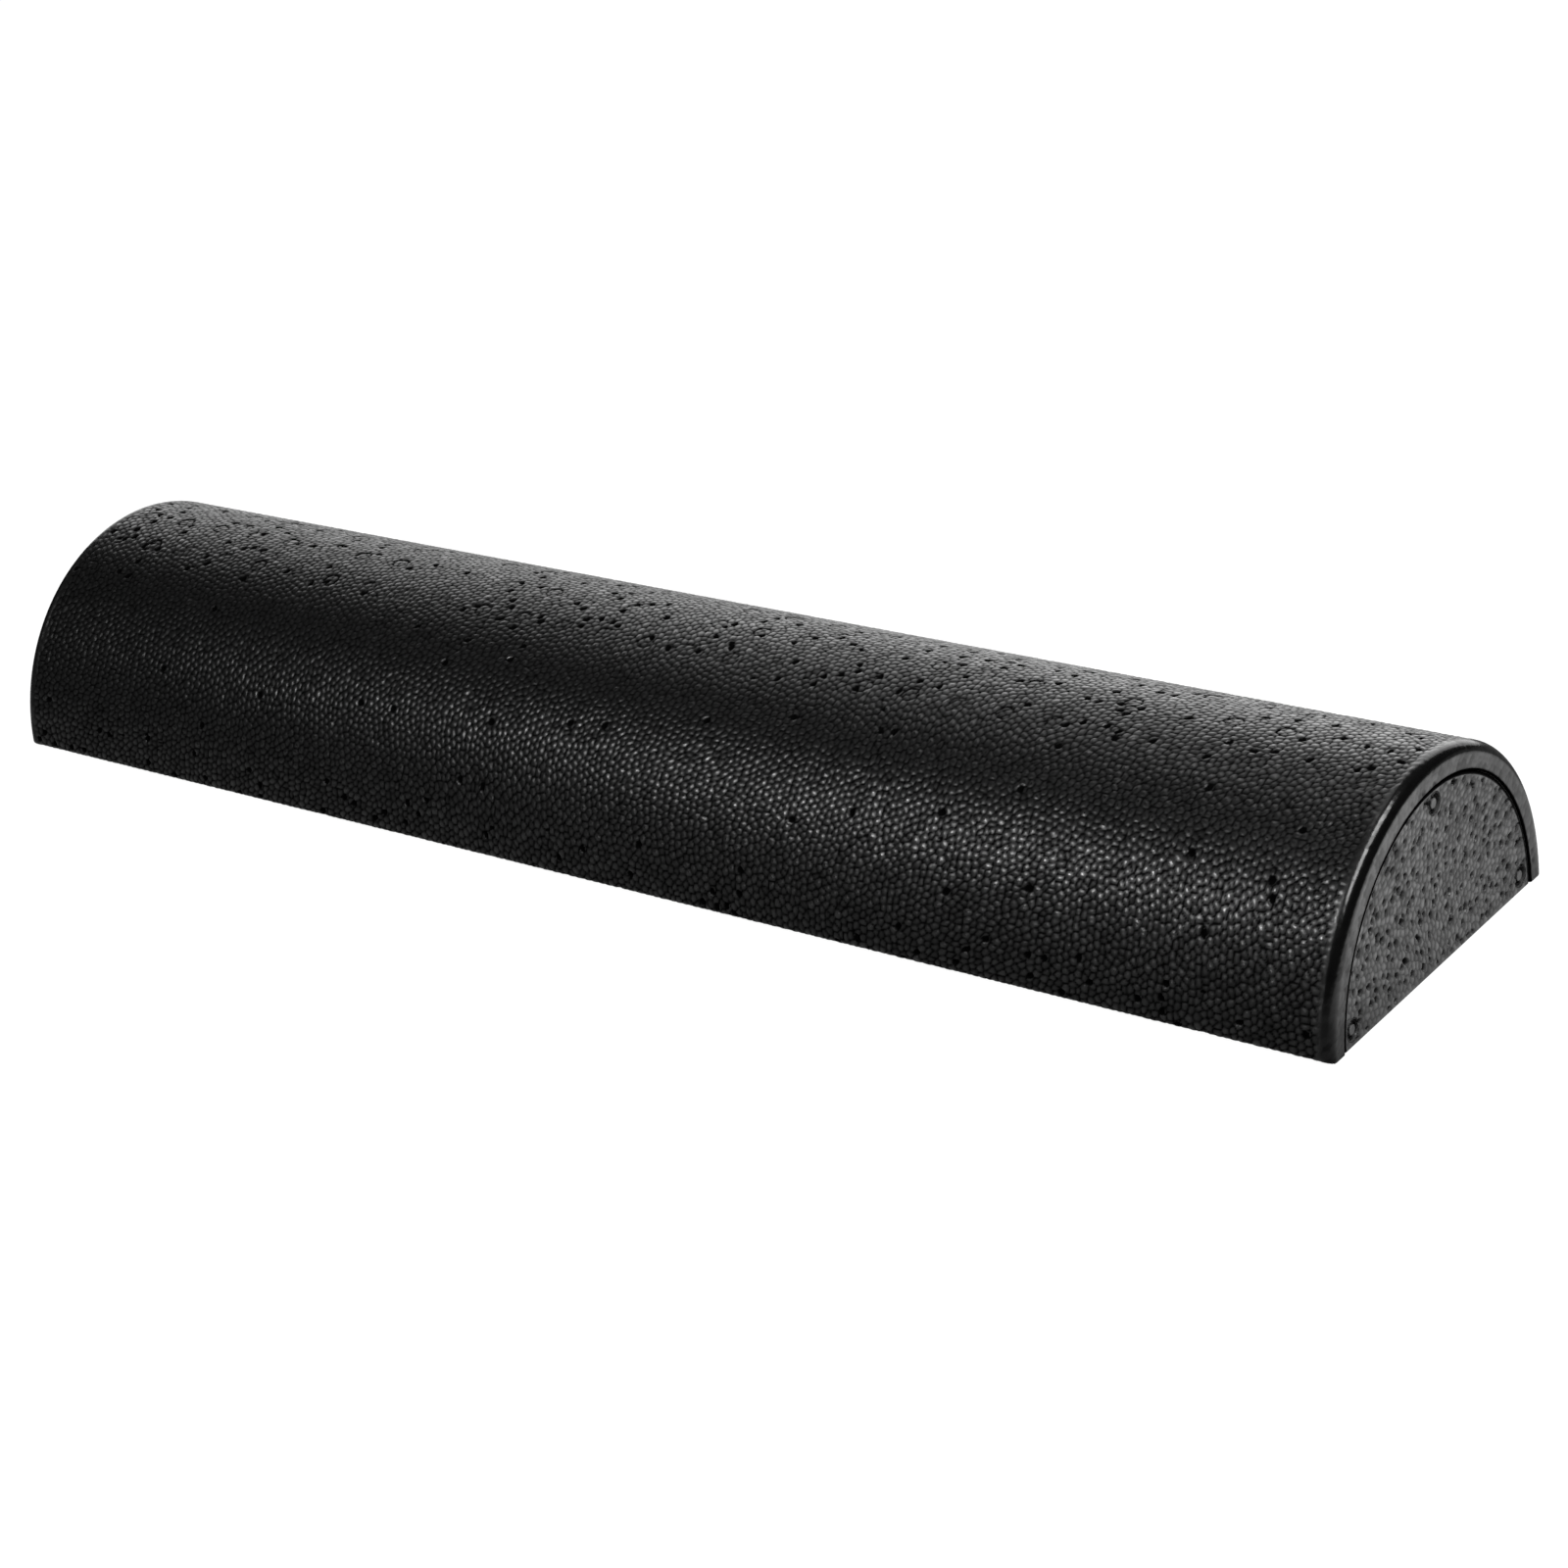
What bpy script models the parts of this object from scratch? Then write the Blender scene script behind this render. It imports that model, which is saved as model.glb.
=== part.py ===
"""Half-round massage bolster: a firm bead-foam jacket bonded over a foam core.

Frame: +X along the bolster, +Z up, origin in the middle of the flat base.
The jacket is a half tube. The core fills it, and a D-shaped panel closes each end,
held by three push-in pins. Units are metres.
"""

import math

import bmesh
import bpy
from mathutils import Matrix

# Overall size
LENGTH = 0.6096
OUTER_RADIUS = 0.0762

# Jacket
JACKET_WALL = 0.010
END_ROUND = 0.0045
BASE_ROUND = 0.003
RIM_ROUND = 0.0008

# End panels
PANEL_THICKNESS = 0.012
PANEL_RECESS = 0.0005

# Pins that hold the end panels
PIN_HEAD_RADIUS = 0.0034
PIN_HEAD_HEIGHT = 0.0035
PIN_HEAD_ROUND = 0.0006
PIN_SHANK_RADIUS = 0.0022
PIN_GRIP = 0.020
PIN_TIP = 0.0015
PIN_RECESS = 0.0004
PIN_EDGE_WALL = 0.0025
PIN_BASE_WALL = 0.0021

# Clearance between pieces that touch, how far a cutter runs past what it cuts,
# and how close to the base plane an edge counts as lying in it
GAP = 0.0003
OVERCUT = 0.004
BASE_TOLERANCE = 0.00003

# Facets
ARC_SEGMENTS = 128
PIN_SEGMENTS = 32
ROUND_SEGMENTS = 5
SMOOTH_ANGLE = math.radians(40)
QUARTER = math.pi / 2

# Sizes that follow from those above
BORE_RADIUS = OUTER_RADIUS - JACKET_WALL
INSERT_RADIUS = BORE_RADIUS - GAP
PANEL_FACE = LENGTH / 2 - PANEL_RECESS
PANEL_BACK = PANEL_FACE - PANEL_THICKNESS
CORE_LENGTH = 2 * (PANEL_BACK - GAP)
PIN_LENGTH = PANEL_THICKNESS + PIN_GRIP
PIN_CIRCLE = INSERT_RADIUS - PIN_HEAD_RADIUS - PIN_EDGE_WALL
PIN_RISE = PIN_HEAD_RADIUS + PIN_BASE_WALL
PIN_SIDE = math.sqrt(PIN_CIRCLE**2 - PIN_RISE**2)

ENDS = {"left": -1, "right": 1}
PIN_PLACES = {
    "top": (0, PIN_CIRCLE),
    "front": (-PIN_SIDE, PIN_RISE),
    "back": (PIN_SIDE, PIN_RISE),
}


def clear_scene():
    """Removes what the startup file holds."""
    for item in list(bpy.data.objects):
        bpy.data.objects.remove(item, do_unlink=True)


def new_collection(name):
    """Makes a collection under the scene's own."""
    made = bpy.data.collections.new(name)
    bpy.context.scene.collection.children.link(made)
    return made


def move_to(item, collection):
    """Puts an object in one collection only."""
    for holder in list(item.users_collection):
        holder.objects.unlink(item)
    collection.objects.link(item)


def material(name, colour, roughness):
    """A plain non-metal material."""
    made = bpy.data.materials.new(name)
    made.use_nodes = True
    shader = made.node_tree.nodes["Principled BSDF"]
    shader.inputs["Base Color"].default_value = (*colour, 1)
    shader.inputs["Roughness"].default_value = roughness
    shader.inputs["Metallic"].default_value = 0
    made.diffuse_color = (*colour, 1)
    return made


def finish_part(part, frame, collection, skin):
    """Shades a part, gives it its material and hangs it on the frame."""
    move_to(part, collection)
    part.data.materials.append(skin)
    part.data.shade_smooth()
    part.data.set_sharp_from_angle(angle=SMOOTH_ANGLE)
    part.parent = frame


def make_cutter(part, collection):
    """Turns an object into a cutter, which isn't part of the bolster."""
    move_to(part, collection)
    part.hide_render = True
    part.display_type = "WIRE"


def cut(part, cutter):
    """Takes the cutter's shape out of a part."""
    boolean = part.modifiers.new(f"cut_{cutter.name}", "BOOLEAN")
    boolean.operation = "DIFFERENCE"
    boolean.solver = "EXACT"
    boolean.object = cutter


def turned(name, profile, segments, is_ring=False):
    """A solid of revolution about local Z. Its (radius, height) points run down the outer side."""
    mesh = bpy.data.meshes.new(name)
    points = [(radius, 0, height) for radius, height in profile]
    links = [(i, i + 1) for i in range(len(points) - 1)]
    if is_ring:
        links.append((len(points) - 1, 0))
    mesh.from_pydata(points, links, [])
    part = bpy.data.objects.new(name, mesh)
    bpy.context.scene.collection.objects.link(part)
    screw = part.modifiers.new("turn", "SCREW")
    screw.axis = "Z"
    screw.angle = 2 * math.pi
    screw.steps = segments
    screw.render_steps = segments
    screw.use_merge_vertices = True
    screw.merge_threshold = 1e-5
    screw.use_smooth_shade = True
    return part


def quarter_round(centre_radius, centre_height, radius, start, turn):
    """Points of a quarter circle in a profile, from the start angle through the signed quarter turn."""
    points = []
    for step in range(ROUND_SEGMENTS + 1):
        angle = start + turn * step / ROUND_SEGMENTS
        points.append(
            (centre_radius + radius * math.cos(angle), centre_height + radius * math.sin(angle))
        )
    return points


def halve(part):
    """Lays a turned part along X and keeps its upper half, closed by a flat base."""
    graph = bpy.context.evaluated_depsgraph_get()
    mesh = bpy.data.meshes.new_from_object(part.evaluated_get(graph))
    shape = bmesh.new()
    shape.from_mesh(mesh)
    lie_down = Matrix.Rotation(QUARTER, 3, "Y")
    bmesh.ops.rotate(shape, verts=shape.verts, matrix=lie_down)
    everything = shape.verts[:] + shape.edges[:] + shape.faces[:]
    bmesh.ops.bisect_plane(
        shape, geom=everything, dist=1e-6, plane_co=(0, 0, 0), plane_no=(0, 0, 1), clear_inner=True
    )
    bmesh.ops.holes_fill(shape, edges=[edge for edge in shape.edges if edge.is_boundary])
    bmesh.ops.recalc_face_normals(shape, faces=shape.faces)
    shape.to_mesh(mesh)
    shape.free()
    part.modifiers.clear()
    part.data = mesh


def round_edges(part, radius, wanted):
    """Rounds the edges whose middle wanted() accepts."""
    mesh = part.data
    weights = mesh.attributes.new("bevel_weight_edge", "FLOAT", "EDGE")
    for edge, weight in zip(mesh.edges, weights.data):
        first, last = (mesh.vertices[i].co for i in edge.vertices)
        weight.value = 1.0 if wanted((first + last) / 2) else 0.0
    bevel = part.modifiers.new("rounds", "BEVEL")
    bevel.limit_method = "WEIGHT"
    bevel.width = radius
    bevel.segments = ROUND_SEGMENTS


def make_jacket():
    """The half tube: a turned ring section, halved, with its long base edges rounded."""
    half = LENGTH / 2
    shoulder = OUTER_RADIUS - END_ROUND
    mouth = BORE_RADIUS + RIM_ROUND
    profile = quarter_round(shoulder, half - END_ROUND, END_ROUND, QUARTER, -QUARTER)
    profile += quarter_round(shoulder, END_ROUND - half, END_ROUND, 0, -QUARTER)
    profile += quarter_round(mouth, RIM_ROUND - half, RIM_ROUND, -QUARTER, -QUARTER)
    profile += quarter_round(mouth, half - RIM_ROUND, RIM_ROUND, 2 * QUARTER, -QUARTER)
    jacket = turned("jacket", profile, ARC_SEGMENTS, is_ring=True)
    halve(jacket)

    def on_long_base_edge(middle):
        return middle.z < BASE_TOLERANCE and abs(middle.y) > shoulder

    round_edges(jacket, BASE_ROUND, on_long_base_edge)
    return jacket


def make_panel(name, side, pin_holes):
    """A D-shaped end panel, with its outer arc edge rounded and three stepped pin holes."""
    half = PANEL_THICKNESS / 2
    edge_centre = INSERT_RADIUS - RIM_ROUND
    profile = [(0, half)]
    profile += quarter_round(edge_centre, half - RIM_ROUND, RIM_ROUND, QUARTER, -QUARTER)
    profile += [(INSERT_RADIUS, -half), (0, -half)]
    if side < 0:
        profile = [(radius, -height) for radius, height in reversed(profile)]
    panel = turned(name, profile, ARC_SEGMENTS)
    halve(panel)
    panel.location.x = side * (PANEL_FACE - half)
    for hole in pin_holes:
        cut(panel, hole)
    return panel


def make_core(pin_holes):
    """The D-section core between the end panels, drilled for the pins."""
    half = CORE_LENGTH / 2
    profile = [(0, half), (INSERT_RADIUS, half), (INSERT_RADIUS, -half), (0, -half)]
    core = turned("core", profile, ARC_SEGMENTS)
    halve(core)
    for hole in pin_holes:
        cut(core, hole)
    return core


def pin_profile(clearance, overcut):
    """A headed pin, grown by a clearance. Height 0 is the panel's outer face."""
    top = overcut if overcut else -PIN_RECESS
    head = PIN_HEAD_RADIUS + clearance
    shank = PIN_SHANK_RADIUS + clearance
    under_head = -PIN_RECESS - PIN_HEAD_HEIGHT - clearance
    end = -PIN_LENGTH - clearance
    edge_centre = head - PIN_HEAD_ROUND
    profile = [(0, top)]
    profile += quarter_round(edge_centre, top - PIN_HEAD_ROUND, PIN_HEAD_ROUND, QUARTER, -QUARTER)
    profile += [(head, under_head), (shank, under_head), (shank, end + PIN_TIP)]
    profile += [(shank - PIN_TIP, end), (0, end)]
    return profile


def place_at_end(part, side, place):
    """Stands a pin or its hole in an end panel, pointing out of that end."""
    part.rotation_euler = (0, side * QUARTER, 0)
    part.location = (side * PANEL_FACE, *place)


def main():
    clear_scene()
    parts = new_collection("half_round_bolster")
    cutters = new_collection("cutters")
    jacket_foam = material("jacket_foam", (0.022, 0.022, 0.023), 0.45)
    core_foam = material("core_foam", (0.045, 0.045, 0.047), 0.7)
    pin_plastic = material("pin_plastic", (0.03, 0.03, 0.03), 0.5)

    frame = bpy.data.objects.new("bolster", None)
    parts.objects.link(frame)

    holes = {end: [] for end in ENDS}
    for end, side in ENDS.items():
        for where, place in PIN_PLACES.items():
            hole = turned(f"hole_{end}_{where}", pin_profile(GAP, OVERCUT), PIN_SEGMENTS)
            place_at_end(hole, side, place)
            make_cutter(hole, cutters)
            holes[end].append(hole)
            pin = turned(f"pin_{end}_{where}", pin_profile(0, 0), PIN_SEGMENTS)
            place_at_end(pin, side, place)
            finish_part(pin, frame, parts, pin_plastic)

    finish_part(make_jacket(), frame, parts, jacket_foam)
    finish_part(make_core(holes["left"] + holes["right"]), frame, parts, core_foam)
    for end, side in ENDS.items():
        finish_part(make_panel(f"end_panel_{end}", side, holes[end]), frame, parts, core_foam)


main()
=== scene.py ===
# %% [markdown]
# # A half-round massage bolster in bead foam
# The bolster is moulded from black expanded polypropylene: small foam beads, fused by steam in a
# metal mould. That leaves three things to see. The beads show as low pebbles with dark seams and
# open pits between them. The mould's steam vents leave rows of small round marks. The ends have a
# smooth rim round a D-shaped panel, with a round pin in each corner of the D.
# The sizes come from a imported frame, and the pieces made here lie exactly over its solids.

# %% Load the frame
import math

import bmesh
import bpy
import numpy as np
from mathutils import Matrix, Vector


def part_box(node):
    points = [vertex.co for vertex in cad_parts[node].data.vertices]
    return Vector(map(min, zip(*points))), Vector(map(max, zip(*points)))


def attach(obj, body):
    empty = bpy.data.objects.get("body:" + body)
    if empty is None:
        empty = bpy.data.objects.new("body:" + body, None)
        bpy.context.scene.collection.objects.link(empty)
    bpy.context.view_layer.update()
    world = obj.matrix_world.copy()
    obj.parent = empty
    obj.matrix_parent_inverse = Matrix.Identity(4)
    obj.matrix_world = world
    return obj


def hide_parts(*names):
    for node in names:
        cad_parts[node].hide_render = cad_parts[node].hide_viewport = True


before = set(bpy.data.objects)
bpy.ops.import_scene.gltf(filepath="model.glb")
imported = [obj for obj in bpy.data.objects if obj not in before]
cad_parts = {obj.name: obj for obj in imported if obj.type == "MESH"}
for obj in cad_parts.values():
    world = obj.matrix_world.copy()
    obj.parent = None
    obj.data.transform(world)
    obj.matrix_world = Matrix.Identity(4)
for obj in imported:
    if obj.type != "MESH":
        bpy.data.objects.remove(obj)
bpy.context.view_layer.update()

# %% [markdown]
# ## Sizes
# Lengths are in metres. The overall sizes are read from the frame's solids, so the pieces follow
# them, and only the clearance and the roundings are stated again here.

# %% Read the sizes
MM = 0.001
TOUCH = 0.001 * MM
HALF_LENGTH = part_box("jacket")[1].x
OUTER_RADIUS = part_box("jacket")[1].z
INSERT_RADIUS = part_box("core")[1].z
CORE_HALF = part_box("core")[1].x
PANEL_BACK, PANEL_FACE = (corner.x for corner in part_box("end_panel_right"))
CLEARANCE = 0.3 * MM
BORE_RADIUS = INSERT_RADIUS + CLEARANCE
WALL = OUTER_RADIUS - BORE_RADIUS
END_ROUND = 4.5 * MM
BASE_ROUND = 3.0 * MM
RIM_ROUND = 0.8 * MM
print(f"length {2 * HALF_LENGTH / MM:.1f} mm, radius {OUTER_RADIUS / MM:.1f} mm")
print(f"jacket wall {WALL / MM:.1f} mm")

# %% [markdown]
# ## Camera
# The camera stands in front and to the right, a little above, and is rolled so that the bolster
# runs downhill across the view. It is placed from the angles round a point on the bolster.

# %% Place the camera
AZIMUTH, ELEVATION, ROLL = (math.radians(angle) for angle in (39.32, 24.98, -6.70))
DISTANCE = 1.3899
AIM = Vector((0.0245, 0.0090, 0.0086))
SENSOR_WIDTH = 36
LENS = 84.3

back = Vector(
    (
        math.sin(AZIMUTH) * math.cos(ELEVATION),
        -math.cos(AZIMUTH) * math.cos(ELEVATION),
        math.sin(ELEVATION),
    )
)
camera_data = bpy.data.cameras.new("camera")
camera_data.sensor_width = SENSOR_WIDTH
camera_data.lens = LENS
camera = bpy.data.objects.new("camera", camera_data)
bpy.context.scene.collection.objects.link(camera)
level_view = back.to_track_quat("Z", "Y").to_matrix()
camera.rotation_euler = (level_view @ Matrix.Rotation(ROLL, 3, "Z")).to_euler()
camera.location = AIM + back * DISTANCE
bpy.context.scene.camera = camera
print("camera at", [round(value, 3) for value in camera.location])

# %% [markdown]
# ## Beads
# Beads of one size, packed against a mould wall, settle into nearly even rows that drift and
# bend. A triangular lattice of points with some random shift gives that layout: each place on the
# surface belongs to its nearest point, and a seam runs where two points are equally near.
# Blender's own Voronoi texture scatters its points more wildly, so the lattice is made here.

# %% Find the cell that each place belongs to
LATTICE = 256
ROW_HEIGHT = math.sqrt(3) / 2
FAR = 9.0
NEARBY = (-1, 0, 1, 2)


def cells(along, across, pitch, spread, seed):
    """Distances in pitches to the nearest and second nearest point, and the nearest one's
    own random tone and lean."""
    dice = np.random.default_rng(seed)
    shifts = dice.uniform(-spread, spread, (LATTICE, LATTICE, 2))
    tones = dice.uniform(0, 1, (LATTICE, LATTICE))
    slopes = dice.normal(0, 1, (LATTICE, LATTICE, 2))
    u, v = along / pitch, across / pitch
    first = np.full(u.shape, FAR)
    second, tone, lean = first.copy(), np.zeros(u.shape), np.zeros(u.shape)
    for row_step in NEARBY:
        row = np.floor(v / ROW_HEIGHT) + row_step
        offset = 0.5 * (row % 2)
        for column_step in NEARBY:
            column = np.floor(u - offset) + column_step
            i, j = column.astype(int) % LATTICE, row.astype(int) % LATTICE
            du = u - column - offset - shifts[i, j, 0]
            dv = v - (row + shifts[i, j, 1]) * ROW_HEIGHT
            gap = np.hypot(du, dv)
            nearer = gap < first
            second = np.where(nearer, first, np.minimum(second, gap))
            tone = np.where(nearer, tones[i, j], tone)
            lean = np.where(nearer, du * slopes[i, j, 0] + dv * slopes[i, j, 1], lean)
            first = np.where(nearer, gap, first)
    return first, second, tone, lean


# %% [markdown]
# The relief is measured down from the mould wall, so the bead tops lie close to the frame's
# surface and everything else is cut below it. The rows of beads are turned and bent a little
# first. Where the beads didn't quite meet, the seam opens into a pit.

# %% Turn cells into relief
BEAD_PITCH = 3.0 * MM
BEAD_SPREAD = 0.33
SEAM_DEPTH = 0.38 * MM
SEAM_WIDTH = 0.95
LEAN_HEIGHT = 0.06 * MM
PIT_PITCH = 5.6 * MM
PIT_SPREAD = 0.45
PIT_REACH = 0.14
PIT_EDGE = 3.0
PIT_OFF_SEAM = 0.55
ROW_TURN = math.radians(24)
BEND = 4 * MM
SHORT_WAVES = (17 * MM, 23 * MM)
LONG_WAVES = (61 * MM, 47 * MM)


def drift(along, across):
    """Turns and bends the rows of beads."""
    turned_along = along * math.cos(ROW_TURN) - across * math.sin(ROW_TURN)
    turned_across = along * math.sin(ROW_TURN) + across * math.cos(ROW_TURN)
    return (
        turned_along + BEND * np.sin(across / SHORT_WAVES[0] + along / LONG_WAVES[0]),
        turned_across + BEND * np.sin(along / SHORT_WAVES[1] - across / LONG_WAVES[1]),
    )


def bead_relief(along, across, seam_shade, pit_depth, pit_share, seed):
    """Height of the bead surface below the mould wall, with each place's tone and its painted
    shade, darkest in the seams and pits.
    """
    u, v = drift(along, across)
    first, second, tone, lean = cells(u, v, BEAD_PITCH, BEAD_SPREAD, seed)
    open_seam = 1 - np.clip((second - first) / SEAM_WIDTH, 0, 1)
    height = -SEAM_DEPTH * open_seam**2 + LEAN_HEIGHT * (lean - 1) * (1 - open_seam)
    pit_gap, _, pit_tone, _ = cells(u, v, PIT_PITCH, PIT_SPREAD, seed + 1)
    reach = PIT_REACH * (1 + pit_tone)
    pit = np.clip(PIT_EDGE * (1 - pit_gap / reach), 0, 1) * (pit_tone > 1 - pit_share)
    pit = pit * (PIT_OFF_SEAM + (1 - PIT_OFF_SEAM) * open_seam)
    height -= pit_depth * pit
    # The second value is painted shade: the seams and pits are drawn darker.
    return height, np.maximum(open_seam**2 * seam_shade, pit), tone


# %% [markdown]
# ## Jacket
# The jacket is a half tube whose ends are rounded into a flat rim. Making it as a fine flat grid
# and wrapping that over the form keeps every small face the same size, which the beads need, and
# gives two surface coordinates to lay the beads out on: the way along and the way across.

# %% Read and write a mesh's points
def flat_grid(columns, rows):
    """A flat grid mesh one unit square."""
    shape = bmesh.new()
    bmesh.ops.create_grid(shape, x_segments=columns, y_segments=rows, size=0.5)
    mesh = bpy.data.meshes.new("grid")
    shape.to_mesh(mesh)
    shape.free()
    return mesh


def get_points(mesh):
    """A mesh's vertices as an array, a row for each."""
    points = np.empty(len(mesh.vertices) * 3, np.float32)
    mesh.vertices.foreach_get("co", points)
    return points.reshape(-1, 3).astype(float)


def set_points(mesh, points):
    """Moves a mesh's vertices."""
    mesh.vertices.foreach_set("co", points.astype(np.float32).ravel())
    mesh.update()


def add_layer(mesh, name, values):
    """Stores one number at each vertex, for a material to read."""
    layer = mesh.attributes.new(name, "FLOAT", "POINT")
    layer.data.foreach_set("value", values.astype(np.float32))


# %% Wrap a flat grid over the form
QUARTER = math.pi / 2
HALF_STRAIGHT = HALF_LENGTH - END_ROUND
END_ARC = END_ROUND * QUARTER
RIM_WIDTH = WALL - END_ROUND - RIM_ROUND
MOUTH_ARC = RIM_ROUND * QUARTER
HALF_RUN = HALF_STRAIGHT + END_ARC + RIM_WIDTH + MOUTH_ARC
HALF_ARCH = OUTER_RADIUS * QUARTER


def lengthwise(along):
    """Distance along the jacket's skin to x, inset from the outer surface, and the normal's
    share along x and outwards."""
    side, run = np.sign(along), np.abs(along)
    turn = np.clip((run - HALF_STRAIGHT) / END_ROUND, 0, QUARTER)
    rim = np.clip(run - HALF_STRAIGHT - END_ARC, 0, RIM_WIDTH)
    mouth = np.clip((run - HALF_RUN + MOUTH_ARC) / RIM_ROUND, 0, QUARTER)
    x = np.minimum(run, HALF_STRAIGHT) + END_ROUND * np.sin(turn) - RIM_ROUND * (1 - np.cos(mouth))
    inset = END_ROUND * (1 - np.cos(turn)) + rim + RIM_ROUND * np.sin(mouth)
    angle = turn + mouth
    return side * x, inset, side * np.sin(angle), np.cos(angle)


def crosswise(inset, share):
    """Place and normal at a share of the way over the arch, from the front base edge to the
    back one, at an inset from the outer surface. The base edges are rounded."""
    radius = OUTER_RADIUS - inset
    edge = np.maximum(BASE_ROUND - inset, TOUCH)
    start = np.arcsin(edge / (radius - edge))
    fillet = edge * (QUARTER + start)
    half_way = fillet + radius * (QUARTER - start)
    run = half_way - np.abs(share - 0.5) * 2 * half_way
    side = np.where(share < 0.5, -1.0, 1.0)
    low = run < fillet
    angle = np.where(low, run / edge - QUARTER, start + (run - fillet) / radius)
    centre_y = np.where(low, (radius - edge) * np.cos(start), 0)
    centre_z = np.where(low, edge, 0)
    reach = np.where(low, edge, radius)
    y = side * (centre_y + reach * np.cos(angle))
    z = centre_z + reach * np.sin(angle)
    return y, z, side * np.cos(angle), np.sin(angle)


# %% [markdown]
# The steam vents are round plugs in the mould wall, on a square pitch. Each leaves a shallow dimple
# with a sharp ring round it, and the beads inside it are pressed flatter. The plugs don't all stand
# at one height, so the marks press unevenly, and the ones near the crown press deepest.

# %% Vent marks
VENT_PITCH = 20 * MM
VENT_ROW_PITCH = OUTER_RADIUS * math.radians(15)
VENT_RADIUS = 3.2 * MM
VENT_ROWS = 5
VENT_RING = 0.42 * MM
VENT_DEPTH = 0.45 * MM
VENT_DISH = 0.7
VENT_SEED = 19
VENT_WEAKEST = 0.4
VENT_AT_BASE = 0.35
VENT_CROWN = 2.5 * VENT_ROW_PITCH


def vent_marks(along, across):
    """How deep the vents press, how much they flatten the beads, and where their rings run."""
    column_gap = (along % VENT_PITCH) - VENT_PITCH / 2
    row = np.clip(np.round(across / VENT_ROW_PITCH), -VENT_ROWS, VENT_ROWS)
    gap = np.hypot(column_gap, across - row * VENT_ROW_PITCH)
    column = np.floor(along / VENT_PITCH).astype(int)
    dice = np.random.default_rng(VENT_SEED)
    strengths = dice.uniform(VENT_WEAKEST, 1, (LATTICE, LATTICE))
    strength = strengths[column % LATTICE, row.astype(int) % LATTICE]
    near_crown = np.exp(-((across / VENT_CROWN) ** 2))
    strength = strength * (VENT_AT_BASE + (1 - VENT_AT_BASE) * near_crown)
    ring = np.exp(-(((gap - VENT_RADIUS) / VENT_RING) ** 2)) * strength
    inside = np.clip((VENT_RADIUS - gap) / VENT_RING, 0, 1) * strength
    return VENT_DEPTH * (ring + VENT_DISH * inside), inside, ring


# %% [markdown]
# The straight body carries the full relief. It fades out over the rounded ends, which the mould
# leaves nearly smooth, and at every open edge, so that the edges lie on the frame's surface. Pits
# are common along the crown and the foot of the arch, and rare on the flank between.

# %% Shape the jacket's skin
FACE_SIZE = 0.62 * MM
EDGE_FADE = 2 * MM
JACKET_BEADS = {"seam_shade": 0.62, "pit_depth": 0.7 * MM, "seed": 7}
FLANK_PITS, MORE_PITS = 0.03, 0.15
ROUND_GRAIN, MORE_RIM_GRAIN = 0.10, 0.25
VENT_FLATTENS = 0.4


def fade(value, start, end):
    """0 before start, 1 after end, and a smooth step between."""
    step = np.clip((value - start) / (end - start), 0, 1)
    return step * step * (3 - 2 * step)


columns = round(2 * HALF_RUN / FACE_SIZE)
rows = round(2 * HALF_ARCH / FACE_SIZE)
jacket_mesh = flat_grid(columns, rows)
flat = get_points(jacket_mesh)
along = flat[:, 0] * 2 * HALF_RUN
share = flat[:, 1] + 0.5
across = flat[:, 1] * 2 * HALF_ARCH
x, inset, normal_x, outward = lengthwise(along)
y, z, side_y, side_z = crosswise(inset, share)

run, arch = np.abs(along), np.abs(across)
past_body = run - HALF_STRAIGHT
body = 1 - fade(past_body, -2 * MM, 1.6 * MM)
on_rim = fade(past_body, 6 * MM, 8 * MM)
crown = 1 - fade(arch, 18 * MM, 34 * MM)
foot = fade(arch, 96 * MM, 106 * MM)

pit_share = FLANK_PITS + MORE_PITS * np.maximum(crown, foot)
height, painted_shade, tone = bead_relief(along, across, pit_share=pit_share, **JACKET_BEADS)
vent_depth, vent_inside, vent_ring = vent_marks(x, across)
grain = body + (1 - body) * (ROUND_GRAIN + MORE_RIM_GRAIN * on_rim)
height = height * grain * (1 - VENT_FLATTENS * vent_inside * body) - vent_depth * body
height *= fade(np.minimum(HALF_RUN - run, HALF_ARCH - arch), 0, EDGE_FADE)
normal = np.stack([normal_x, outward * side_y, outward * side_z], axis=1)
set_points(jacket_mesh, np.stack([x, y, z], axis=1) + normal * height[:, None])
print(f"jacket skin: {columns} by {rows} faces, relief down to {height.min() / MM:.2f} mm")

# %% [markdown]
# The materials need three numbers at each vertex. The first is painted shade: it says how dark and
# dull a place is, and how much shine it loses. It lies in the seams and pits, the vents' rings and
# the groove round the mouth, where shade falls, and, more faintly, over the whole rounded end. The
# tone is the bead's own. The polish marks the band of the end that the mould left glossy.

# %% Store what the materials read
# How strong the painted shade is on the vents' rings, the rounded end and the rim.
VENT_SHADE = 0.8
ROUND_SHADE = 0.28
RIM_SHADE = 0.2

# Painted shade in the groove round the mouth, where the rim meets the recessed panel.
groove_shade = fade(run, HALF_RUN - 1.6 * MM, HALF_RUN - 0.8 * MM)
# Painted shade, faint, over the whole rounded end and its rim, a little darker on the round.
round_zone = (1 - body) * (1 - fade(past_body, 5 * MM, 7 * MM))
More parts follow.
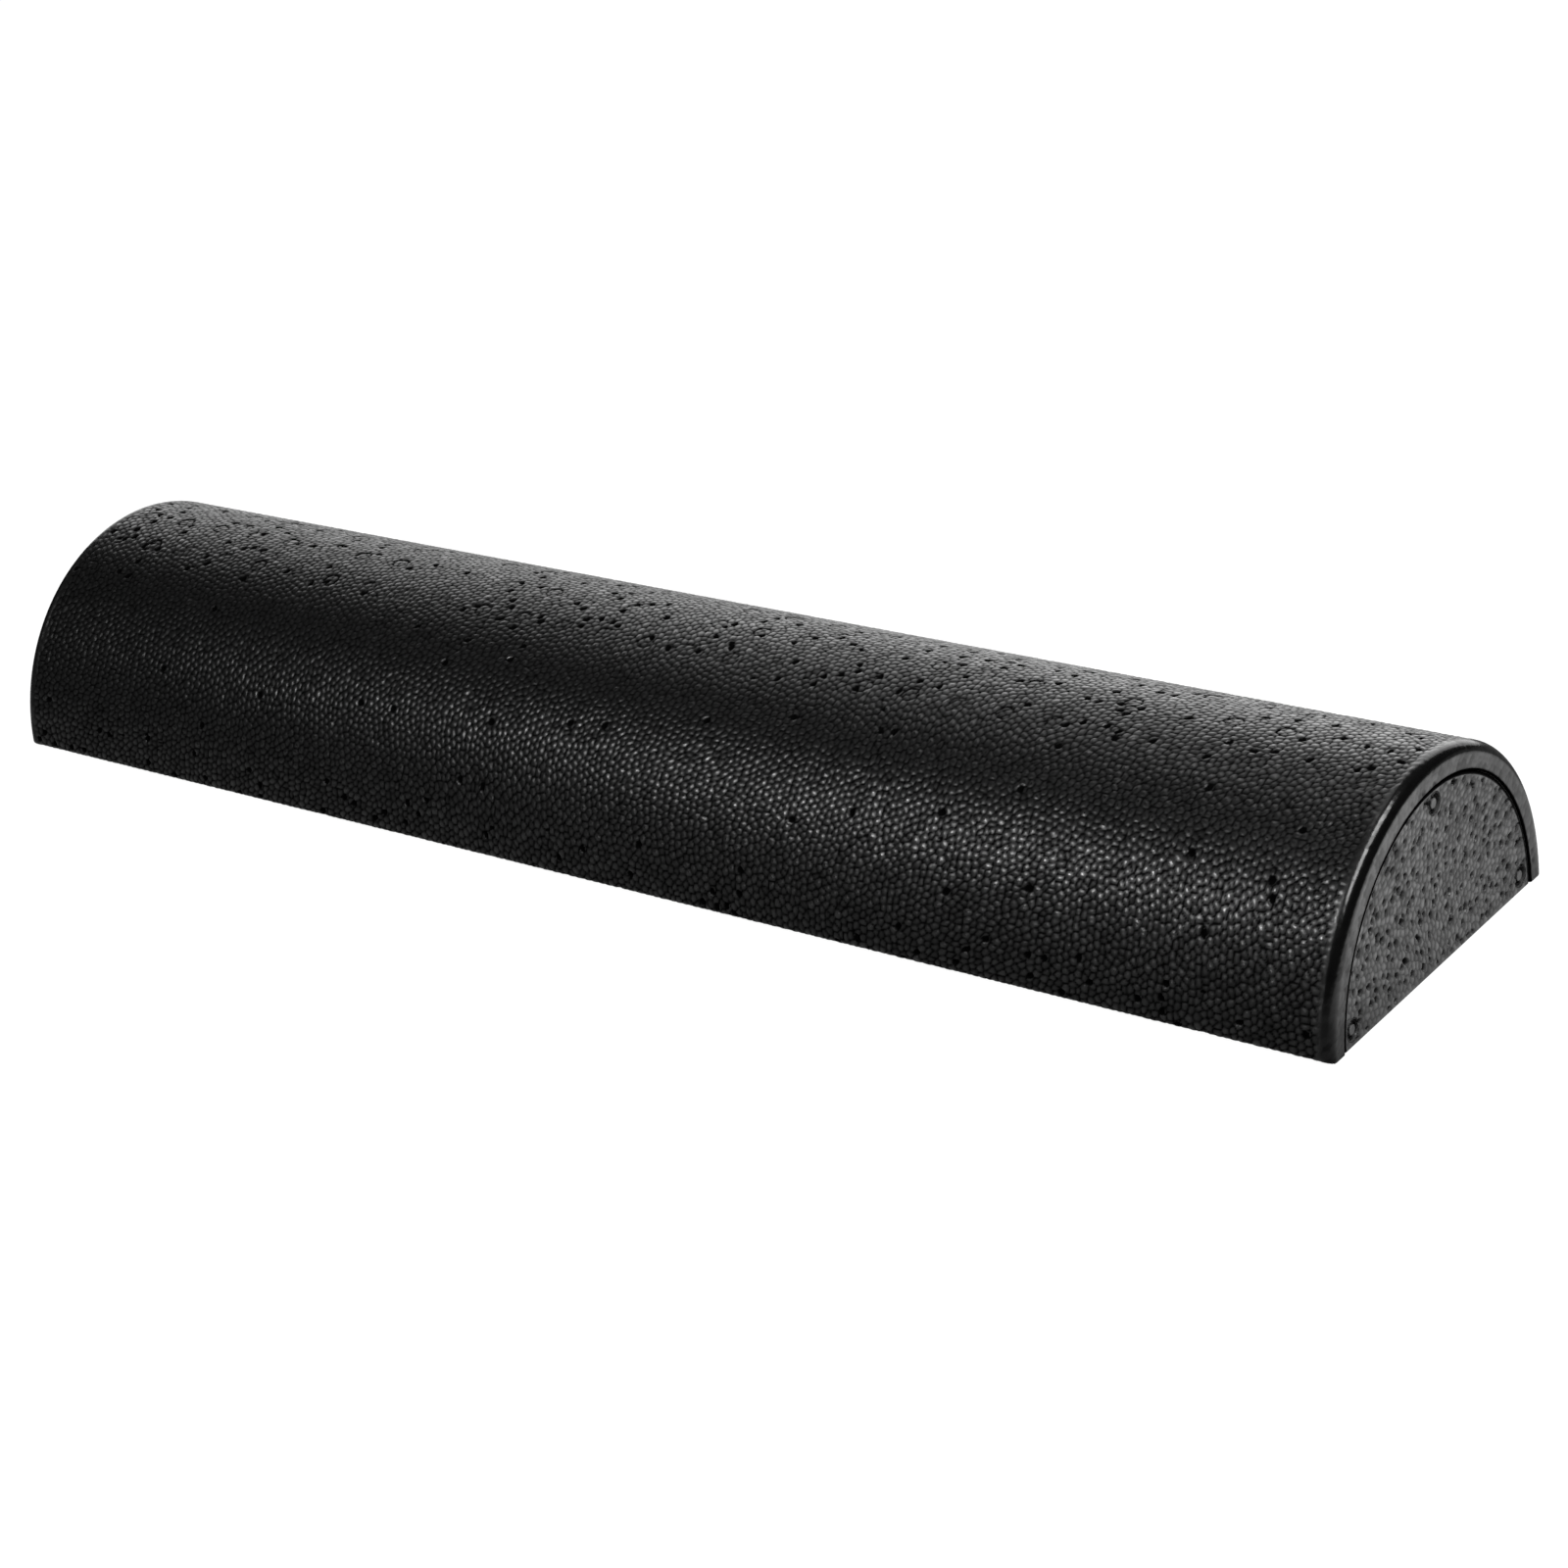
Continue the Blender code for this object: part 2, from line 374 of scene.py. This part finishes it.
# Painted shade in the vents' ring grooves.
vent_shade = VENT_SHADE * body * vent_ring
painted_shade = painted_shade * grain
for shade in (vent_shade, ROUND_SHADE * round_zone, RIM_SHADE * (1 - body), groove_shade):
    painted_shade = np.maximum(painted_shade, shade)
add_layer(jacket_mesh, "painted_shade", painted_shade)
add_layer(jacket_mesh, "tone", tone)
polish = fade(past_body, 0.6 * MM, 1.8 * MM) * (1 - on_rim)
add_layer(jacket_mesh, "polish", polish)
print(f"dark share of the skin: {(painted_shade > 0.5).mean():.2f}")

# %% [markdown]
# The skin is open at its mouths and along its base. Bridging the two mouths makes the bore, and
# two flat faces close the base on either side of it.

# %% Close the jacket
NEAR = 0.1 * MM


def place_piece(name, mesh, materials):
    """Links a finished mesh as an object at the origin."""
    piece = bpy.data.objects.new(name, mesh)
    bpy.context.scene.collection.objects.link(piece)
    for skin in materials:
        mesh.materials.append(skin)
    return piece


def open_edges(shape):
    """The edges that have a face on one side only."""
    return [edge for edge in shape.edges if edge.is_boundary]


def runs_round_mouth(edge):
    """Whether an edge goes round the bore and not along it."""
    first, last = (vert.co for vert in edge.verts)
    in_reach = all(math.hypot(co.y, co.z) < BORE_RADIUS + NEAR for co in (first, last))
    return in_reach and abs(first.x - last.x) < TOUCH


shape = bmesh.new()
shape.from_mesh(jacket_mesh)
mouths = [edge for edge in open_edges(shape) if runs_round_mouth(edge)]
bore = bmesh.ops.bridge_loops(shape, edges=mouths)["faces"]
base = bmesh.ops.holes_fill(shape, edges=open_edges(shape))["faces"]
for face in bore + base:
    face.material_index = 1
bmesh.ops.recalc_face_normals(shape, faces=shape.faces)
for face in shape.faces:
    face.smooth = True
shape.to_mesh(jacket_mesh)
print("jacket:", len(bore), "bore faces,", len(base), "base faces")
print("jacket open edges:", len(open_edges(shape)))
shape.free()

# %% [markdown]
# ## Foam skins
# Black polypropylene is a near-black plastic with a soft shine. Each bead took the mould's polish a
# little differently, so tone and shine change from bead to bead. The seams and pits between them
# are painted darker and duller, and their shine is taken away: painted shade, because hardly any
# light gets out of a deep gap. Those come from the numbers stored at each vertex. A fine noise bump
# adds the grain inside a bead, which is too small to model.

# %% Node helpers
FOAM_IOR = 1.42


def socket_value(node, name, value):
    """Sets a node's input to a fixed value."""
    node.inputs[name].default_value = value


def grey(level):
    """A neutral colour of one brightness."""
    return (level, level, level, 1)


def new_skin(name):
    """A material with its nodes cleared to one Principled shader. Returns it, its tree and
    shader."""
    skin = bpy.data.materials.new(name)
    skin.use_nodes = True
    return skin, skin.node_tree, skin.node_tree.nodes["Principled BSDF"]


def ramp(tree, source, low, high, start=0.0, end=1.0):
    """Maps a value that runs from start to end to low to high."""
    node = tree.nodes.new("ShaderNodeMapRange")
    limits = {"From Min": start, "From Max": end, "To Min": low, "To Max": high}
    for name, value in limits.items():
        socket_value(node, name, value)
    tree.links.new(source, node.inputs["Value"])
    return node.outputs["Result"]


def maths(tree, operation, first, second):
    """One Math node on two sources, each a socket or a number."""
    node = tree.nodes.new("ShaderNodeMath")
    node.operation = operation
    for slot, source in zip(node.inputs, (first, second)):
        if isinstance(source, bpy.types.NodeSocket):
            tree.links.new(source, slot)
        else:
            slot.default_value = source
    return node.outputs["Value"]


def stored(tree, name):
    """A number stored at each vertex."""
    node = tree.nodes.new("ShaderNodeAttribute")
    node.attribute_name = name
    return node.outputs["Fac"]


def own_place(tree):
    """The piece's own coordinates."""
    return tree.nodes.new("ShaderNodeTexCoord").outputs["Object"]


def grain_noise(tree, size, detail=3):
    """Noise in the piece's own coordinates, with features of the given size."""
    noise = tree.nodes.new("ShaderNodeTexNoise")
    socket_value(noise, "Scale", 1 / size)
    socket_value(noise, "Detail", detail)
    tree.links.new(own_place(tree), noise.inputs["Vector"])
    return noise.outputs["Fac"]


def blend_greys(tree, shader, share, low, high):
    """Colours a shader from one grey to another by a 0 to 1 share."""
    colour = tree.nodes.new("ShaderNodeMix")
    colour.data_type = "RGBA"
    colour.inputs["A"].default_value = grey(low)
    colour.inputs["B"].default_value = grey(high)
    tree.links.new(share, colour.inputs["Factor"])
    tree.links.new(colour.outputs["Result"], shader.inputs["Base Color"])


def add_bump(tree, shader, height, strength, distance):
    """Bumps a shader's surface by a height."""
    bump = tree.nodes.new("ShaderNodeBump")
    socket_value(bump, "Strength", strength)
    socket_value(bump, "Distance", distance)
    tree.links.new(height, bump.inputs["Height"])
    tree.links.new(bump.outputs["Normal"], shader.inputs["Normal"])


# %% Make the foam skins
BEAD_SHARE = 0.6
CLOUD_SIZE, CLOUD_DETAIL = 35 * MM, 2
LIGHTEST_MIX = 0.6
SEAM_ROUGHENS = 0.35
POLISH_SMOOTHS = 0.45
SHINE_LOSS = 1.9
DULL_SHINE, FULL_SHINE = 0.45, 0.95
POLISHED_SHINE = 0.8
BEAD_GRAIN = 0.55 * MM


def foam_skin(name, dark, light, dull, shiny):
    """Bead foam: seams and pits painted dark and dull as shade, beads that differ in tone and
    shine, and a fine grain. Takes the darkest and lightest greys, and the roughness of the dullest
    and shiniest bead."""
    skin, tree, shader = new_skin(name)
    painted_shade, tone, polish = (stored(tree, layer) for layer in ("painted_shade", "tone", "polish"))
    cloud = grain_noise(tree, CLOUD_SIZE, CLOUD_DETAIL)
    bead_part = maths(tree, "MULTIPLY", tone, BEAD_SHARE)
    mixed = maths(tree, "ADD", bead_part, maths(tree, "MULTIPLY", cloud, 1 - BEAD_SHARE))
    # The stored painted shade darkens the colour here, and further down it takes the shine away.
    shade = maths(tree, "MAXIMUM", painted_shade, ramp(tree, mixed, LIGHTEST_MIX, 0.0))
    blend_greys(tree, shader, shade, light, dark)

    seam_rough = ramp(tree, painted_shade, 0.0, SEAM_ROUGHENS)
    rough = maths(tree, "ADD", ramp(tree, mixed, dull, shiny), seam_rough)
    rough = maths(tree, "MULTIPLY", rough, ramp(tree, polish, 1.0, POLISH_SMOOTHS))
    tree.links.new(rough, shader.inputs["Roughness"])

    open_part = ramp(tree, maths(tree, "MULTIPLY", painted_shade, SHINE_LOSS), 1.0, 0.0)
    shine = maths(tree, "MULTIPLY", open_part, ramp(tree, tone, DULL_SHINE, FULL_SHINE))
    shine = maths(tree, "MULTIPLY", shine, ramp(tree, polish, 1.0, POLISHED_SHINE))
    tree.links.new(shine, shader.inputs["Specular IOR Level"])
    socket_value(shader, "IOR", FOAM_IOR)
    add_bump(tree, shader, grain_noise(tree, BEAD_GRAIN), 0.2, 0.05 * MM)
    return skin


jacket_skin = foam_skin("jacket_skin", dark=0.0005, light=0.002, dull=0.34, shiny=0.22)
# The panel's skin, used for the core too, is the same black foam as the jacket's but many times
# lighter: painted light, for the brighter light on the end face.
lit_panel_skin = foam_skin("lit_panel_skin", dark=0.001, light=0.035, dull=0.44, shiny=0.30)
print("foam skins:", jacket_skin.name, lit_panel_skin.name)

# %% [markdown]
# The jacket's bore, and the base strips of the jacket and the panels, have no modelled beads. Their
# skin shows the bead pattern as a shallow bump from a Voronoi texture of the same pitch, with
# painted shade darkening the seams.

# %% Make the flat skin
SEAM_SHARPNESS = 6


def flat_foam_skin(name, dark, light):
    """Bead foam pressed flat: the same beads, drawn by a Voronoi texture."""
    skin, tree, shader = new_skin(name)
    voronoi = tree.nodes.new("ShaderNodeTexVoronoi")
    voronoi.feature = "DISTANCE_TO_EDGE"
    socket_value(voronoi, "Scale", 1 / BEAD_PITCH)
    tree.links.new(own_place(tree), voronoi.inputs["Vector"])
    from_seam = maths(tree, "MULTIPLY", voronoi.outputs["Distance"], SEAM_SHARPNESS)
    bead = maths(tree, "MINIMUM", from_seam, 1)
    # The seams are painted darker, as shade.
    blend_greys(tree, shader, bead, dark, light)
    rough = ramp(tree, grain_noise(tree, 8 * MM), 0.45, 0.7)
    tree.links.new(rough, shader.inputs["Roughness"])
    socket_value(shader, "IOR", FOAM_IOR)
    add_bump(tree, shader, bead, 0.5, 0.15 * MM)
    return skin


flat_skin = flat_foam_skin("flat_skin", dark=0.002, light=0.010)
print("flat skin:", flat_skin.name)

# %% Place the jacket
def foam_piece(name, mesh, skins, slot, *nodes):
    """A finished foam piece that stands for CAD nodes."""
    piece = place_piece(name, mesh, skins)
    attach(piece, "root")
    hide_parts(*nodes)
    return piece


foam_piece("jacket_moulding", jacket_mesh, [jacket_skin, flat_skin], "jacket_foam", "jacket")
print("jacket triangles:", sum(len(face.vertices) - 2 for face in jacket_mesh.polygons))

# %% [markdown]
# ## End panels
# Each end panel is a D-shaped plate. Half a turn of its profile makes it: the profile runs out
# along the hidden back, over the rounded edge and in along the face, and one flat face closes the
# base. The face is cut fine enough for its beads, which have more and deeper pits between them
# than the jacket's.

# %% Turn a profile round the length axis
def turned(profile, fine_edges, angle, steps):
    """Spins (x, radius) points round the X axis. fine_edges maps an edge's number to its cuts."""
    shape = bmesh.new()
    corners = [shape.verts.new((x, radius, 0)) for x, radius in profile]
    edges = [shape.edges.new(pair) for pair in zip(corners, corners[1:])]
    for number, cuts in fine_edges.items():
        bmesh.ops.subdivide_edges(shape, edges=[edges[number]], cuts=cuts)
    bmesh.ops.spin(
        shape, geom=shape.verts[:] + shape.edges[:], axis=(1, 0, 0), cent=(0, 0, 0),
        angle=angle, steps=steps, use_merge=angle > math.pi,
    )
    bmesh.ops.remove_doubles(shape, verts=shape.verts, dist=TOUCH)
    if open_edges(shape):
        for face in bmesh.ops.holes_fill(shape, edges=open_edges(shape))["faces"]:
            face.material_index = 1
    bmesh.ops.recalc_face_normals(shape, faces=shape.faces)
    for face in shape.faces:
        face.smooth = True
    return shape


def rounded_corner(x, radius, size, steps):
    """(x, radius) points of a quarter round that ends at a face at x, from the rim inwards."""
    angles = [QUARTER * step / steps for step in range(steps + 1)]
    return [(x - size + size * math.sin(a), radius - size + size * math.cos(a)) for a in angles]


# %% Read where the pins stand
PIN_PLACES = {}
for where in ("top", "front", "back"):
    pin_low, pin_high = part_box(f"pin_right_{where}")
    PIN_PLACES[where] = (pin_low + pin_high) / 2
PIN_RADIUS = (pin_high.y - pin_low.y) / 2
PIN_FACE, PIN_END = pin_high.x, pin_low.x
pin_recess = PANEL_FACE - PIN_FACE
print(f"pins of radius {PIN_RADIUS / MM:.1f} mm, {pin_recess / MM:.1f} mm below the face")

# %% [markdown]
# The beads are pressed into the face along the length axis, and fade out at the arc, at the base
# and where the face ends. Painted shade darkens the groove along the arc, and a dark ring round
# each pin stands for the shadow in its narrow gap.

# %% Bead the panel's face
PANEL_FINE = 0.55 * MM
PANEL_BEADS = {"seam_shade": 0.42, "pit_depth": 1.8 * MM, "pit_share": 0.9}
PANEL_SEEDS = {"right": 31, "left": 53}
CORNER_STEPS = 3
ON_PLANE = 0.01 * MM


def panel_mesh(seed):
    """The right-hand panel, its face beaded, before its pin holes are cut."""
    profile = [(PANEL_BACK, 0), (PANEL_BACK, INSERT_RADIUS)]
    profile += rounded_corner(PANEL_FACE, INSERT_RADIUS, RIM_ROUND, CORNER_STEPS)
    profile += [(PANEL_FACE, 0)]
    cuts = round((INSERT_RADIUS - RIM_ROUND) / PANEL_FINE)
    steps = round(math.pi * INSERT_RADIUS / PANEL_FINE)
    shape = turned(profile, {len(profile) - 2: cuts}, math.pi, steps)
    mesh = bpy.data.meshes.new("panel")
    shape.to_mesh(mesh)
    shape.free()

    points = get_points(mesh)
    across, up = points[:, 1], points[:, 2]
    radius = np.hypot(across, up)
    on_face = (points[:, 0] > PANEL_FACE - ON_PLANE) & (radius < INSERT_RADIUS - RIM_ROUND)
    height, painted_shade, tone = bead_relief(across, up, seed=seed, **PANEL_BEADS)
    grain = fade(INSERT_RADIUS - radius, RIM_ROUND, EDGE_FADE) * fade(up, 0, EDGE_FADE) * on_face
    # Painted shade in the groove along the arc, where the face meets the rim.
    groove_shade = fade(radius, INSERT_RADIUS - 1.5 * MM, INSERT_RADIUS - 0.7 * MM)
    painted_shade = np.maximum(painted_shade * grain, groove_shade)
    for place in PIN_PLACES.values():
        gap = np.hypot(across - place.y, up - place.z) - PIN_RADIUS
        painted_shade = np.maximum(painted_shade, 1 - fade(gap, 0.4 * MM, 1.1 * MM))
    points[:, 0] += height * grain
    set_points(mesh, points)
    add_layer(mesh, "painted_shade", painted_shade)
    add_layer(mesh, "tone", tone)
    return mesh


# %% [markdown]
# The pin holes are cut with a boolean, which takes a clean round bite out of the beaded face. The
# drill and the plate it bites are thrown away, and only the cut mesh is kept.

# %% Cut the pin holes and place the panels
DRILL_SEGMENTS = 40
HOLE_FLOOR = 2 * MM


def drill_bit(place):
    """A cylinder along the length axis, a clearance wider than a pin's head."""
    shape = bmesh.new()
    stand = Matrix.Translation((PANEL_FACE, place.y, place.z))
    bmesh.ops.create_cone(
        shape, cap_ends=True, segments=DRILL_SEGMENTS,
        radius1=PIN_RADIUS + CLEARANCE, radius2=PIN_RADIUS + CLEARANCE,
        depth=2 * (PANEL_FACE - PANEL_BACK - HOLE_FLOOR),
        matrix=stand @ Matrix.Rotation(QUARTER, 4, "Y"),
    )
    mesh = bpy.data.meshes.new("drill")
    shape.to_mesh(mesh)
    shape.free()
    return place_piece("drill", mesh, [])


def cut_pin_holes(mesh):
    """Cuts a round hole for each pin."""
    plate = place_piece("plate", mesh, [])
    bits = [drill_bit(place) for place in PIN_PLACES.values()]
    for bit in bits:
        drill = plate.modifiers.new("drill", "BOOLEAN")
        drill.operation = "DIFFERENCE"
        drill.solver = "EXACT"
        drill.object = bit
    graph = bpy.context.evaluated_depsgraph_get()
    cut_mesh = bpy.data.meshes.new_from_object(plate.evaluated_get(graph))
    for spent in bits + [plate]:
        bpy.data.objects.remove(spent, do_unlink=True)
    return cut_mesh


def to_left_end(mesh):
    """Turns a right-hand mesh into its mirror image at the other end."""
    shape = bmesh.new()
    shape.from_mesh(mesh)
    bmesh.ops.scale(shape, vec=(-1, 1, 1), verts=shape.verts)
    bmesh.ops.reverse_faces(shape, faces=shape.faces)
    shape.to_mesh(mesh)
    shape.free()


for end, seed in PANEL_SEEDS.items():
    mesh = cut_pin_holes(panel_mesh(seed))
    if end == "left":
        to_left_end(mesh)
    skins = [lit_panel_skin, flat_skin]
    foam_piece(f"{end}_end_panel", mesh, skins, "core_foam", f"end_panel_{end}")
    print(end, "panel faces:", len(mesh.polygons))

# %% [markdown]
# ## Core
# Only the core's underside shows. It is a fine flat grid with the bead relief pressed upwards into
# it. Spinning its front edge half a turn makes the round top, and two fills close the ends.

# %% Make the core
CORE_FINE = 0.9 * MM
CORE_STEPS = 48
CORE_BEADS = {"seam_shade": 0.5, "pit_depth": 0.8 * MM, "pit_share": 0.5, "seed": 71}

core_mesh = flat_grid(round(2 * CORE_HALF / CORE_FINE), round(2 * INSERT_RADIUS / CORE_FINE))
points = get_points(core_mesh) * [2 * CORE_HALF, 2 * INSERT_RADIUS, 0]
height, painted_shade, tone = bead_relief(points[:, 0], points[:, 1], **CORE_BEADS)
edge_gap = np.minimum(CORE_HALF - np.abs(points[:, 0]), INSERT_RADIUS - np.abs(points[:, 1]))
grain = fade(edge_gap, 0, EDGE_FADE)
points[:, 2] = -height * grain
set_points(core_mesh, points)
add_layer(core_mesh, "painted_shade", painted_shade * grain)
add_layer(core_mesh, "tone", tone)

shape = bmesh.new()
shape.from_mesh(core_mesh)
front_edge = [
    edge for edge in open_edges(shape)
    if max(vert.co.y for vert in edge.verts) < ON_PLANE - INSERT_RADIUS
]
front = front_edge + list({vert for edge in front_edge for vert in edge.verts})
bmesh.ops.spin(
    shape, geom=front, axis=(1, 0, 0), cent=(0, 0, 0), angle=-math.pi, steps=CORE_STEPS
)
bmesh.ops.remove_doubles(shape, verts=shape.verts, dist=ON_PLANE)
bmesh.ops.holes_fill(shape, edges=open_edges(shape))
bmesh.ops.recalc_face_normals(shape, faces=shape.faces)
print("core open edges:", len(open_edges(shape)))
shape.to_mesh(core_mesh)
shape.free()
foam_piece("core_block", core_mesh, [lit_panel_skin], "core_foam", "core")

# %% [markdown]
# ## Pins
# A pin is a turned plug. Its head has a rounded rim, a deep ring groove and a slightly dished
# middle. The rim and the groove get a darker, duller copy of the plastic than the middle: painted
# shade for the deep groove, spread over the rim, so that the head reads as a dark ring with a paler
# spot in it. Below the head the shank runs on into the core.

# %% Make the pins
HEAD_HEIGHT = 3.5 * MM
HEAD_ROUND = 0.3 * MM
SHANK_RADIUS = 2.2 * MM
PIN_TIP = 1.5 * MM
PIN_STEPS = 40
RING_DEPTH = 1.1 * MM
RING_OUTER, RING_INNER = 2.8 * MM, 2.2 * MM
SPOT_RADIUS, SPOT_CHAMFER = 1.6 * MM, (0.2 * MM, 1.9 * MM)
DISH_DEPTH = 0.15 * MM
DARK_BEYOND = 2.0 * MM
SHARP_ANGLE = math.radians(40)


def pin_mesh():
    """The pin at the origin's height, its head at the pin face, before it goes to its place."""
    under_head, ring_floor = PIN_FACE - HEAD_HEIGHT, PIN_FACE - RING_DEPTH
    chamfer_drop, chamfer_radius = SPOT_CHAMFER
    profile = [(PIN_END, 0), (PIN_END, SHANK_RADIUS - PIN_TIP), (PIN_END + PIN_TIP, SHANK_RADIUS)]
    profile += [(under_head, SHANK_RADIUS), (under_head, PIN_RADIUS)]
    profile += rounded_corner(PIN_FACE - HEAD_ROUND, PIN_RADIUS, HEAD_ROUND, CORNER_STEPS)
    profile += [(ring_floor, RING_OUTER), (ring_floor, RING_INNER)]
    profile += [(PIN_FACE - chamfer_drop, chamfer_radius), (PIN_FACE, SPOT_RADIUS)]
    profile += [(PIN_FACE - 0.7 * DISH_DEPTH, SPOT_RADIUS / 2), (PIN_FACE - DISH_DEPTH, 0)]
    shape = turned(profile, {}, 2 * math.pi, PIN_STEPS)
    # Faces out beyond DARK_BEYOND, in the groove and on the rim, take the painted shade skin.
    for face in shape.faces:
        middle = face.calc_center_median()
        face.material_index = 1 if math.hypot(middle.y, middle.z) > DARK_BEYOND else 0
    mesh = bpy.data.meshes.new("pin")
    shape.to_mesh(mesh)
    shape.free()
    return mesh


def plastic_skin(name, dark, light):
    """Satin plastic, with a faint moulded grain and scuffs."""
    skin, tree, shader = new_skin(name)
    scuff = grain_noise(tree, 1.5 * MM)
    blend_greys(tree, shader, scuff, dark, light)
    tree.links.new(ramp(tree, scuff, 0.35, 0.6), shader.inputs["Roughness"])
    add_bump(tree, shader, grain_noise(tree, 0.3 * MM), 0.3, 0.03 * MM)
    return skin


pin_skin = plastic_skin("pin_skin", dark=0.012, light=0.05)
# Painted shade: a darker, less shiny copy of the pin plastic for the groove and the rim.
pin_ring_shade_skin = plastic_skin("pin_ring_shade_skin", dark=0.001, light=0.004)
socket_value(pin_ring_shade_skin.node_tree.nodes["Principled BSDF"], "Specular IOR Level", 0.12)
for end in PANEL_SEEDS:
    for where, place in PIN_PLACES.items():
        mesh = pin_mesh()
        mesh.transform(Matrix.Translation((0, place.y, place.z)))
        if end == "left":
            to_left_end(mesh)
        pin = place_piece(f"{end}_{where}_pin", mesh, [pin_skin, pin_ring_shade_skin])
        mesh.set_sharp_from_angle(angle=SHARP_ANGLE)
        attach(pin, "root")
        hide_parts(f"pin_{end}_{where}")
print("pins:", len(PANEL_SEEDS) * len(PIN_PLACES))

# %% [markdown]
# ## Floor
# The floor is plain and pale. Black foam mirrors whatever stands round it, so a pale floor would
# turn the whole flank grey. A Light Path node splits the two: the camera sees the floor pale, and
# the foam sees it dark, with a faint glow in front of the bolster and a bright pool by the right
# end. The pool is what lights the end panel.

# %% Lay the floor
FLOOR_SIDE = 14
FLOOR_DROP = 0.2 * MM
FLOOR_SEEN = 0.96
POOL_CENTRE = (0.49, 0.04, 0)
POOL_EDGE = (0.12, 0.23)
POOL_GLOW = 2.0
FRONT_EDGE = (-0.05, 0.05)
FRONT_GLOW, BACK_GLOW = 0.22, 0.03

floor_mesh = flat_grid(1, 1)
lower = Matrix.Translation((0, 0, -FLOOR_DROP))
floor_mesh.transform(lower @ Matrix.Diagonal((FLOOR_SIDE, FLOOR_SIDE, 1, 1)))
floor_skin, floor_tree, floor_shader = new_skin("floor_skin")
socket_value(floor_shader, "Base Color", grey(0.06))
socket_value(floor_shader, "Roughness", 0.9)
socket_value(floor_shader, "Specular IOR Level", 0.0)
socket_value(floor_shader, "Emission Color", grey(1))

from_pool = floor_tree.nodes.new("ShaderNodeVectorMath")
from_pool.operation = "DISTANCE"
from_pool.inputs[1].default_value = POOL_CENTRE
floor_tree.links.new(own_place(floor_tree), from_pool.inputs[0])
pool = ramp(floor_tree, from_pool.outputs["Value"], POOL_GLOW, 0.0, *POOL_EDGE)
split = floor_tree.nodes.new("ShaderNodeSeparateXYZ")
floor_tree.links.new(own_place(floor_tree), split.inputs["Vector"])
front_glow = ramp(floor_tree, split.outputs["Y"], FRONT_GLOW, BACK_GLOW, *FRONT_EDGE)

strength = floor_tree.nodes.new("ShaderNodeMix")
strength.inputs["B"].default_value = FLOOR_SEEN
seen = floor_tree.nodes.new("ShaderNodeLightPath").outputs["Is Camera Ray"]
floor_tree.links.new(seen, strength.inputs["Factor"])
floor_tree.links.new(maths(floor_tree, "MAXIMUM", pool, front_glow), strength.inputs["A"])
floor_tree.links.new(strength.outputs["Result"], floor_shader.inputs["Emission Strength"])
floor = place_piece("floor", floor_mesh, [floor_skin])
print(f"floor: {FLOOR_SIDE} m square")

# %% [markdown]
# ## Light
# Six soft boxes light the bolster. Two wide ones behind it put the pale sheen along the crown, and
# a small one above softens its lower edge. One in front on the left lays the softer band along the
# flank, and a low one lifts the flank's foot. A long one above the right end catches the rounded
# edge. The world is pale to the camera and dim to the foam, so the flank stays black between them.

# %% Set the lights
SOFTBOXES = {
    "back_softbox": ((-0.8, 1.8, 1.0), (0, 0, 1.0), (3.6, 2.0), 46),
    "back_right_softbox": ((-0.4, 1.98, 1.0), (0, 0, 1.0), (1.5, 2.0), 11),
    "top_softbox": ((-0.6, 0.55, 1.9), (0.1, 0, 0.06), (0.6, 0.6), 3.5),
    "flank_softbox": ((-0.5, -1.12, 1.0), (0.1, 0, 0.04), (0.5, 0.3), 12.5),
    "low_softbox": ((-0.35, -1.5, 0.25), (0.08, 0, 0.04), (0.5, 0.12), 1.5),
    "edge_softbox": ((0.82, -0.35, 1.3), (0.3, -0.35, 0.06), (1.5, 0.6), 55),
}
WORLD_COLOUR = (0.95, 0.97, 1.0, 1)
WORLD_DIM, WORLD_SEEN = 0.02, 0.92


def softbox(name, place, aim, size, power):
    """A rectangular area light at a place, facing an aim, with its size and its watts."""
    light = bpy.data.lights.new(name, "AREA")
    light.shape = "RECTANGLE"
    light.size, light.size_y = size
    light.energy = power
    lamp = bpy.data.objects.new(name, light)
    bpy.context.scene.collection.objects.link(lamp)
    lamp.location = place
    lamp.rotation_euler = (Vector(aim) - Vector(place)).to_track_quat("-Z", "Y").to_euler()
    lamp.visible_camera = False


for name, settings in SOFTBOXES.items():
    softbox(name, *settings)
print("soft boxes:", len(SOFTBOXES))

world = bpy.data.worlds.new("studio")
world.use_nodes = True
world_tree = world.node_tree
sky = world_tree.nodes["Background"]
socket_value(sky, "Color", WORLD_COLOUR)
world_seen = world_tree.nodes.new("ShaderNodeLightPath").outputs["Is Camera Ray"]
world_tree.links.new(ramp(world_tree, world_seen, WORLD_DIM, WORLD_SEEN), sky.inputs["Strength"])
bpy.context.scene.world = world
bpy.context.scene.view_settings.view_transform = "Standard"
